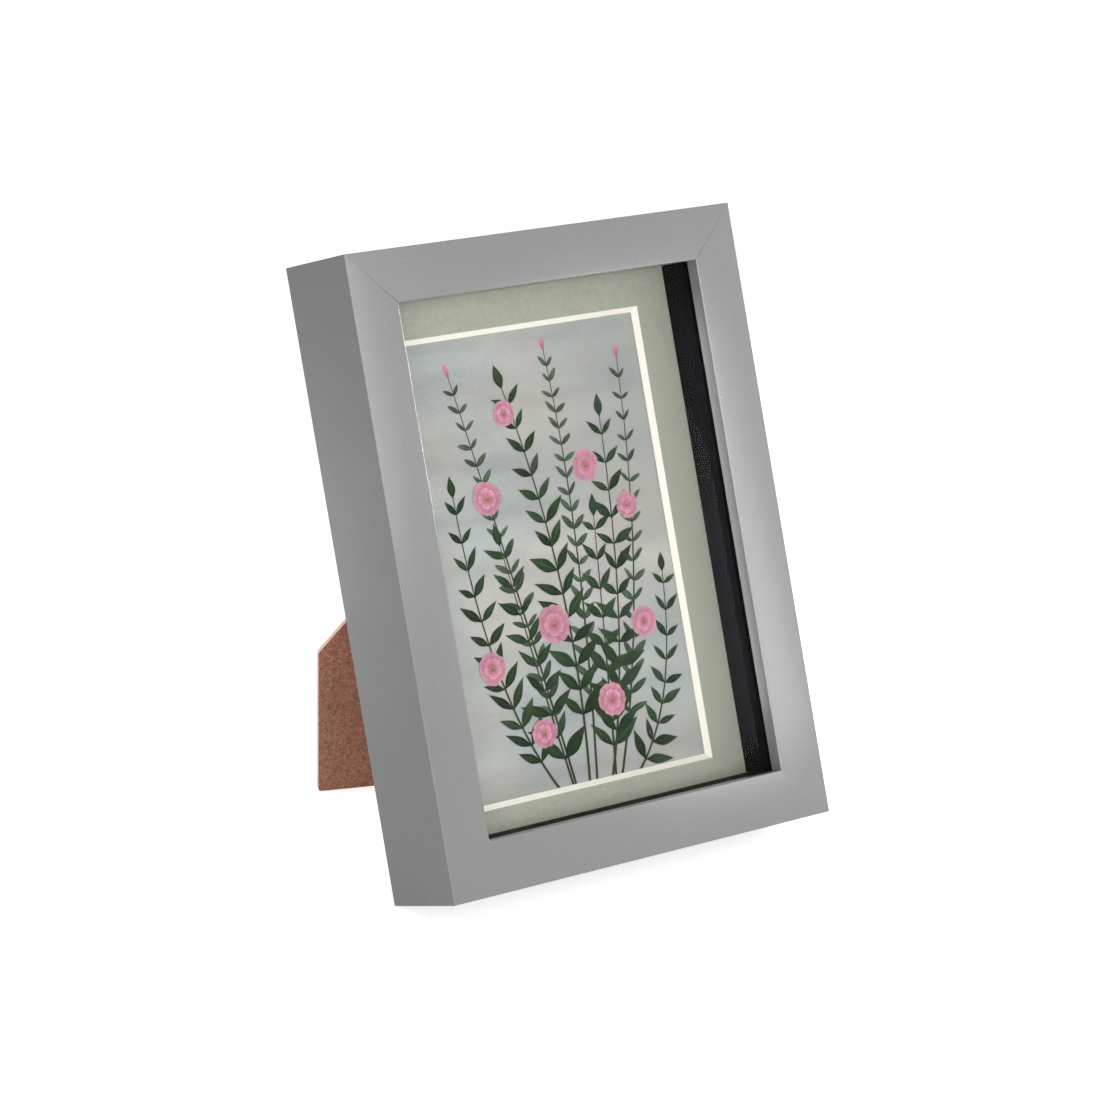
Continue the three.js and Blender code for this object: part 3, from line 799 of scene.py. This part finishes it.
def arc(centre, radius, start, end, steps=14):
    """Points along an arc, in X and Z."""
    turns = [start + (end - start) * step / steps for step in range(steps + 1)]
    return [(centre[0] + radius * math.cos(t), 0, centre[1] + radius * math.sin(t)) for t in turns]


def turned(name, profile, sides=32):
    """Turns a piece about Z from its radii and heights, one step after another."""
    radius, height = profile[0]
    bpy.ops.object.select_all(action="DESELECT")
    disc = {"vertices": sides, "radius": radius, "fill_type": "NGON"}
    bpy.ops.mesh.primitive_circle_add(location=(0, 0, height), **disc)
    piece = bpy.context.object
    piece.name = name
    bpy.ops.object.transform_apply(location=True)
    pick(piece, "FACE")
    for next_radius, next_height in profile[1:]:
        rise = {"value": (0, 0, next_height - height)}
        bpy.ops.mesh.extrude_region_move(TRANSFORM_OT_translate=rise)
        grown = next_radius / radius
        bpy.ops.transform.resize(value=(grown, grown, 1), center_override=(0, 0, next_height))
        radius, height = next_radius, next_height
    face_outwards(piece)
    return piece


taper = math.asin((button_radius - button_tip_radius) / (button_reach - button_tip_radius))
round_end = arc((0, 0), button_radius, math.pi - taper, math.tau + taper)
tip_end = arc((0, button_reach - button_tip_radius), button_tip_radius, taper, math.pi - taper)
tongue = trace("tongue", round_end + tip_end)
draw_out(tongue, (0, button_thickness, 0))
pick(tongue, "FACE")
bpy.ops.mesh.bisect(plane_co=(0, 0, button_bend), plane_no=(0, 0, 1), threshold=cut_tolerance)
only(tongue)
for vert in tongue.data.vertices:
    vert.co.y += max(0, vert.co.z - button_bend) / (button_reach - button_bend) * button_tip_lift

# Turned pieces are made upright, and then laid back with their heads to the rear
to_depth = Matrix.Rotation(-math.pi / 2, 4, "X")
hole_radius = screw_radius + screw_clearance
bore = turned("bore", [(hole_radius, -button_reach / 2), (hole_radius, button_reach / 2)])
settle(bore, to_depth)
cut_away(tongue, bore)
ease(tongue, button_easing)
shade(tongue)


def copy_to(piece, name, place):
    """Copies a finished piece to a place."""
    copy = twin(piece)
    copy.name = name
    settle(copy, place)
    return copy


pivots = {
    label: side_place(quarter_turns) @ Matrix.Translation((along, hardware_front, button_line))
    for label, (quarter_turns, along) in buttons.items()
}
for label, pivot in pivots.items():
    button = copy_to(tongue, f"button_{label}", pivot)
    finish_piece(button, f"turn_button_{label}", f"button_{label}", "steel", steel)
bpy.data.objects.remove(tongue)

# Button screws
# Small round-headed steel screws with a cross recess, one through each button into the shelf. The
# heads stand a hair off the buttons, so that these can turn.
screw_length = 8 * mm
screw_point = 0.1 * mm
screw_gap = 0.1 * mm
screw_head_radius = 2.5 * mm
screw_head_height = 1.2 * mm
screw_easing = 0.06 * mm
recess_half_length = 1.35 * mm
recess_half_width = 0.24 * mm
recess_depth = 0.8 * mm
rim_share = 0.4
dome_steps = 6


def domed(radius, height, seat, facing=1):
    """Radii and heights of a low domed head on its seat: a short rim, then the dome."""
    dome = [(radius, seat), (radius, seat + facing * height * rim_share)]
    for step in range(1, dome_steps):
        swing = step / dome_steps * math.pi / 2
        rise = rim_share + (1 - rim_share) * math.sin(swing)
        dome.append((radius * math.cos(swing), seat + facing * height * rise))
    return dome


seat = button_thickness + screw_gap
shank = [(screw_point, -screw_length), (screw_radius, screw_radius - screw_length), (screw_radius, seat)]
screw = turned("screw", shank + domed(screw_head_radius, screw_head_height, seat))
recess_low = seat + screw_head_height - recess_depth
recess_high = seat + 2 * screw_head_height
for long_x, long_y in ((recess_half_length, recess_half_width), (recess_half_width, recess_half_length)):
    cut_away(screw, block("recess", (-long_x, -long_y, recess_low), (long_x, long_y, recess_high)))
ease(screw, screw_easing)
shade(screw)
settle(screw, to_depth)
for label, pivot in pivots.items():
    driven = pivot @ Matrix.Rotation(dice.uniform(0, math.pi), 4, "Y")
    holder = copy_to(screw, f"screw_{label}", driven)
    finish_piece(holder, f"button_screw_{label}", "frame", "steel", steel)
bpy.data.objects.remove(screw)

# Hangers
# Toothed strips of steel, bent out from the panel between their two pins, one below the top edge
# and one beside the edge that is up when the frame hangs the other way.
hanger_length = 36 * mm
hanger_height = 9 * mm
hanger_thickness = 0.7 * mm
hanger_standoff = 1.8 * mm
hanger_flat = 8 * mm
hanger_ramp = 2 * mm
hanger_edge = 13 * mm
hanger_corner = 1.2 * mm
hanger_easing = 0.1 * mm
tooth_count = 7
tooth_depth = 1.8 * mm
pin_radius = 0.7 * mm
pin_head_radius = 1.5 * mm
pin_head_height = 0.5 * mm
head_gap = 0.05 * mm
layer_gap = 0.3 * mm
panel_front = print_front + print_thickness + layer_gap

half_raised = hanger_length / 2 - hanger_flat - hanger_ramp
half_long, half_high = hanger_length / 2, hanger_height / 2
outline = [(-half_long, half_high), (-half_long, -half_high), (-half_raised, -half_high)]
for tooth in range(tooth_count):
    pitch = 2 * half_raised / tooth_count
    start = tooth * pitch - half_raised
    outline += [(start + pitch / 2, tooth_depth - half_high), (start + pitch, -half_high)]
outline += [(half_long, -half_high), (half_long, half_high)]
strip = trace("strip", [(x, 0, z) for x, z in outline])
for end in (-1, 1):
    pick(strip, "VERT", lambda vert: abs(vert.co.x - end * half_long) < weld_distance)
    bpy.ops.mesh.bevel(offset=hanger_corner, segments=round_steps, affect="VERTICES")
draw_out(strip, (0, hanger_thickness, 0))
for line in (-half_raised - hanger_ramp, -half_raised, half_raised, half_raised + hanger_ramp):
    pick(strip, "FACE")
    bpy.ops.mesh.bisect(plane_co=(line, 0, 0), plane_no=(1, 0, 0), threshold=cut_tolerance)
only(strip)
for vert in strip.data.vertices:
    climb = (half_raised + hanger_ramp - abs(vert.co.x)) / hanger_ramp
    vert.co.y += hanger_standoff * min(1, max(0, climb))
ease(strip, hanger_easing)
shade(strip)

pin_seat = hanger_thickness + head_gap
pin_shank = [(pin_radius, panel_front - hardware_front), (pin_radius, pin_seat)]
tack = turned("tack", pin_shank + domed(pin_head_radius, pin_head_height, pin_seat))
shade(tack)
settle(tack, to_depth)

hangers = {
    "top": ((0, frame_height - pocket_wall - hanger_edge), 0),
    "side": ((frame_width / 2 - pocket_wall - hanger_edge, frame_height / 2), math.pi / 2),
}
for label, ((x, z), turn) in hangers.items():
    spot = standing @ Matrix.Translation((x, hardware_front, z)) @ Matrix.Rotation(turn, 4, "Y")
    hanger = copy_to(strip, f"hanger_strip_{label}", spot)
    finish_piece(hanger, f"hanger_{label}", "frame", "steel", steel)
    for count, side in ((1, -1), (2, 1)):
        along = side * (hanger_length - hanger_flat) / 2
        pin = copy_to(tack, f"hanger_tack_{label}_{count}", spot @ Matrix.Translation((along, 0, 0)))
        finish_piece(pin, f"hanger_pin_{label}_{count}", "frame", "steel", steel)
bpy.data.objects.remove(strip)
bpy.data.objects.remove(tack)

# Strut hinge
# Two leaves of rolled steel on one pin, aslant on the panel. The panel's leaf curls into the two
# outer knuckles and the strut's leaf into the middle one.
fold = next(joint for joint in frame["joints"] if joint["name"] == "strut_fold")
pin_line = -Vector(fold["axis"]).normalized()
hinge_axes = Matrix((pin_line, back_axis, pin_line.cross(back_axis))).transposed()
hinge_place = Matrix.Translation(fold["pos_m"]) @ hinge_axes.to_4x4()
strut_open = math.radians(fold["range_deg"][1])
strut_place = hinge_place @ Matrix.Rotation(strut_open, 4, "X")

hinge_width = 30 * mm
middle_knuckle = 11 * mm
knuckle_gap = 0.15 * mm
knuckle_radius = 2.2 * mm
leaf_thickness = 0.8 * mm
leaf_corner = 2 * mm
corner_steps = 6
leaf_easing = 0.1 * mm
panel_leaf_length = 15 * mm
strut_leaf_length = 21 * mm
curl = math.radians(290)
curl_steps = 18


def make_leaf(name, length, side, knuckle_reach):
    """A leaf below the pin, with its plate towards the panel if side is -1. Its upper edge is cut
    into three, and knuckle_reach says which of the three go on to curl round the pin."""
    shoulder = -knuckle_radius - layer_gap
    face = side * knuckle_radius
    inner = face - side * leaf_thickness
    half = hinge_width / 2
    leaf = block(name, (-half, min(face, inner), -length), (half, max(face, inner), shoulder))

    def at_lower_corner(edge):
        """Says yes to the short edges through the plate at its lower corners."""
        one, other = (vert.co for vert in edge.verts)
        return max(one.z, other.z) < weld_distance - length and abs(one.x - other.x) < weld_distance

    pick(leaf, "EDGE", at_lower_corner)
    bpy.ops.mesh.bevel(offset=leaf_corner, segments=corner_steps)
    for cut in (-1, 1):
        for nick in (-knuckle_gap, knuckle_gap):
            pick(leaf, "FACE")
            plane = (cut * middle_knuckle / 2 + nick, 0, 0)
            bpy.ops.mesh.bisect(plane_co=plane, plane_no=(1, 0, 0), threshold=cut_tolerance)
    pick(leaf, "FACE", lambda f: f.normal.z > looks_along and knuckle_reach(abs(f.calc_center_median().x)))
    bpy.ops.mesh.extrude_region_move(TRANSFORM_OT_translate={"value": (0, 0, -shoulder)})
    bpy.ops.mesh.spin(steps=curl_steps, angle=side * curl, center=(0, 0, 0), axis=(1, 0, 0), dupli=False)
    bpy.ops.mesh.select_all(action="SELECT")
    bpy.ops.mesh.remove_doubles(threshold=weld_distance)
    face_outwards(leaf)
    ease(leaf, leaf_easing)
    shade(leaf)
    return leaf


middle_end = middle_knuckle / 2
panel_leaf = make_leaf("leaf_on_panel", panel_leaf_length, -1, lambda x: x > middle_end + knuckle_gap)
settle(panel_leaf, hinge_place)
finish_piece(panel_leaf, "hinge_panel_leaf", "frame", "steel", steel)
strut_leaf = make_leaf("leaf_on_strut", strut_leaf_length, 1, lambda x: x < middle_end - knuckle_gap)
settle(strut_leaf, strut_place)
finish_piece(strut_leaf, "hinge_strut_leaf", "strut", "steel", steel)

hinge_pin_radius = 0.9 * mm
hinge_pin_gap = 0.1 * mm
hinge_head_radius = 1.5 * mm
hinge_head_flat = 1.2 * mm
hinge_head_rim = 0.4 * mm
hinge_head_height = 0.6 * mm
hinge_pin_end = hinge_width / 2 + hinge_pin_gap
pin_profile = [
    (hinge_head_flat, -hinge_pin_end - hinge_head_height),
    (hinge_head_radius, -hinge_pin_end - hinge_head_rim),
    (hinge_head_radius, -hinge_pin_end),
    (hinge_pin_radius, -hinge_pin_end),
]
hinge_pin = turned("pin_of_hinge", pin_profile + [(r, -h) for r, h in reversed(pin_profile)])
shade(hinge_pin)
settle(hinge_pin, hinge_place @ Matrix.Rotation(math.pi / 2, 4, "Y"))
finish_piece(hinge_pin, "hinge_pin", "frame", "steel", steel)

# Strut
# A hardboard prop, cut square to its hinge and tapered on the right. Its toe is a nearly square
# corner that stands on the table. Its sawn edges are painted paler than its faces, partly for the
# bare fibre and partly as a painted highlight of light catching them.
strut_length = 162 * mm
strut_thickness = 2.2 * mm
strut_face = knuckle_radius + layer_gap
strut_corner = 0.8 * mm
strut_easing = 0.2 * mm
strut_right_at_hinge = 7 * mm
toe_side_width = 34.5 * mm
toe_side_height = 40.1 * mm
toe_foot_width = 24 * mm
heel_height = (strut_face * math.cos(strut_open) + knuckle_radius) / math.sin(strut_open)
hinge_slant = math.acos(pin_line.x)

toe_across = (toe_side_width - strut_right_at_hinge) / 2
outline = [
    (0, -strut_length),
    (toe_foot_width, toe_foot_width * math.tan(hinge_slant) - strut_length),
    (strut_right_at_hinge, heel_height),
    (-toe_side_width, heel_height),
    (-toe_side_width, toe_side_height - strut_length),
]
prop = trace("strut_prop", [(toe_across + x, strut_face, z) for x, z in outline])
pick(prop, "VERT")
bpy.ops.mesh.bevel(offset=strut_corner, segments=corner_steps, affect="VERTICES")
draw_out(prop, (0, strut_thickness, 0))
ease(prop, strut_easing)
bare_cut_edges(prop)
shade(prop)
settle(prop, strut_place)
finish_piece(prop, "strut_board", "strut", "hardboard", hardboard, sawn_edge_with_painted_highlight)

# Rivets
# Domed steel rivets, two through the hinge's leaf and the panel, and two through its other leaf
# and the strut, where both ends are headed.
rivet_radius = 1.1 * mm
rivet_head_radius = 2.3 * mm
rivet_head_height = 0.7 * mm
rivet_spacing = 9 * mm
rivet_edge = 4.5 * mm
pin_depth = hardware_front + knuckle_radius

panel_seat = leaf_thickness + head_gap - knuckle_radius
strut_seat = knuckle_radius - leaf_thickness - head_gap
strut_back = strut_face + strut_thickness + head_gap
panel_dome = domed(rivet_head_radius, rivet_head_height, panel_seat)
front_dome = domed(rivet_head_radius, rivet_head_height, strut_seat, -1)
back_dome = domed(rivet_head_radius, rivet_head_height, strut_back)
panel_shank = [(rivet_radius, panel_front - pin_depth), (rivet_radius, panel_seat)]
strut_shank = [(rivet_radius, strut_seat), (rivet_radius, strut_back)]
panel_rivet = turned("rivet", panel_shank + panel_dome)
strut_rivet = turned("rivet", front_dome[::-1] + strut_shank + back_dome)
rivets = {
    "panel": (panel_rivet, hinge_place, rivet_edge - panel_leaf_length, "frame"),
    "strut": (strut_rivet, strut_place, rivet_edge - strut_leaf_length, "strut"),
}
for label, (rivet, leaf_place, drop, body) in rivets.items():
    shade(rivet)
    settle(rivet, to_depth)
    for count, side in ((1, -1), (2, 1)):
        spot = leaf_place @ Matrix.Translation((side * rivet_spacing, 0, drop))
        driven = copy_to(rivet, f"rivet_{label}_{count}", spot)
        finish_piece(driven, f"{label}_rivet_{count}", body, "steel", steel)
    bpy.data.objects.remove(rivet)

# Floor
# A wide sheet of white paper that the frame stands on. It shows white where nothing shades it, and
# keeps the frame's shadow.
floor_radius = 6
floor_sides = 96
floor_glow = 0.66
floor_in_sheen = 0.1
scene = bpy.context.scene
scene.view_settings.view_transform = "Standard"


def looked_at(tree, in_sheen):
    """1 for what is seen straight or through glass, in_sheen in a reflection, 0 for light on things."""
    path = put(tree, "ShaderNodeLightPath").outputs
    through = sums(tree, "MAXIMUM", path["Is Camera Ray"], path["Is Transmission Ray"])
    seen = sums(tree, "MAXIMUM", through, times(tree, path["Is Glossy Ray"], in_sheen))
    return times(tree, seen, sums(tree, "LESS_THAN", path["Diffuse Depth"], 0.5))


paper, tree, shader, place = new_finish("white_paper_floor")
tooth = shade_by(tree, "mottle", place, Scale=300.0, Depth=0.01)
feed(tree, shader, Base_Color=shaded(tree, linear(236, 236, 236), tooth), Roughness=0.95)
glow = times(tree, looked_at(tree, floor_in_sheen), floor_glow)
feed(tree, shader, Specular_IOR_Level=0.0, Emission_Color=linear(255, 255, 255), Emission_Strength=glow)
bpy.ops.object.select_all(action="DESELECT")
sheet = {"vertices": floor_sides, "radius": floor_radius, "fill_type": "NGON"}
bpy.ops.mesh.primitive_circle_add(location=(0, 0, cad_low.z), **sheet)
floor = bpy.context.object
floor.name = "paper_floor"
bpy.ops.object.transform_apply(location=True)
floor.data.materials.append(paper)

# Camera
# A long lens, to the left of the frame and a little above it, and a touch tilted. Its place and
# its length bring the frame's corners to where the photograph has them.
camera_distance = 1.326
aim = Vector((-4.43, -11.15, 100.99)) * mm
azimuth, elevation, roll = (math.radians(angle) for angle in (37.98, 17.92, 2.57))
looking = Vector((
    math.sin(azimuth) * math.cos(elevation),
    math.cos(azimuth) * math.cos(elevation),
    -math.sin(elevation),
))
turned_about = looking.to_track_quat("-Z", "Y").to_matrix() @ Matrix.Rotation(roll, 3, "Z")
bpy.ops.object.camera_add(location=aim - looking * camera_distance, rotation=turned_about.to_euler())
camera = bpy.context.object
camera.data.lens = 133.89
camera.data.sensor_width = 36
camera.data.clip_start = 0.05
camera.data.clip_end = 50
scene.camera = camera

# Studio light
# White walls all round and a broad softbox beside the camera. Two small lamps to the front right
# shine on the faces of the rails, and one far right on the left rail's inner arris. A faint one
# behind lights the left side, and a thin strip lights the right rail's lip.
wall_light = 0.42
studio = bpy.data.worlds.new("white_studio")
scene.world = studio
studio.use_nodes = True
tree = studio.node_tree
walls = sums(tree, "ADD", times(tree, looked_at(tree, 1.0), 1 - wall_light), wall_light)
tree.links.new(walls, tree.nodes["Background"].inputs["Strength"])
tree.nodes["Background"].inputs["Color"].default_value = linear(255, 255, 255)


def place_from(azimuth, elevation, distance):
    """A lamp's place, turned to the frame, so many degrees to the right of straight in front."""
    azimuth, elevation = math.radians(azimuth), math.radians(elevation)
    across = math.cos(elevation)
    towards = Vector((math.sin(azimuth) * across, -math.cos(azimuth) * across, math.sin(elevation)))
    facing = towards.to_track_quat("Z", "Y").to_matrix()
    return Matrix.Translation(aim + towards * distance) @ facing.to_4x4()


def add_lamp(name, place, size, power, shines=True, spread=180):
    """Adds a flat lamp. If it shines, the foil mirrors it, and spread is its beam's angle."""
    bpy.ops.object.light_add(type="AREA")
    lamp = bpy.context.object
    lamp.name = name
    lamp.matrix_world = place
    lamp.data.shape = "RECTANGLE"
    lamp.data.size, lamp.data.size_y = size
    lamp.data.energy = power
    lamp.data.spread = math.radians(spread)
    lamp.visible_camera = False
    lamp.visible_glossy = shines
    lamp.visible_transmission = False


add_lamp("softbox", place_from(-31, 15, 1.7), size=(1.3, 0.6), power=18.0)
add_lamp("right_lamp", place_from(41.0, 12.7, 0.38), size=(0.07, 0.188), power=0.138)
add_lamp("left_lamp", place_from(21.4, 27.3, 0.59), size=(0.114, 0.206), power=0.257)
add_lamp("rim_lamp", place_from(82, 11.5, 0.45), size=(0.07, 0.12), power=1.3)
add_lamp("back_lamp", place_from(-121, -4, 0.143), size=(0.02, 0.06), power=0.045, shines=False)

# The strip stands before the left rail and shines across the opening, a little to the back
strip_size = (3 * mm, 132 * mm)
strip_inset = 0.8 * face_width
strip_stand = 4 * mm
strip_tilt = 0.11
strip_spot = Matrix.Translation((strip_inset - frame_width / 2, -strip_stand, frame_height / 2))
across_opening = Vector((-1, -strip_tilt, 0)).to_track_quat("Z", "Y").to_matrix().to_4x4()
strip_place = standing @ strip_spot @ across_opening
add_lamp("lip_strip", strip_place, size=strip_size, power=0.0076, shines=False, spread=12)
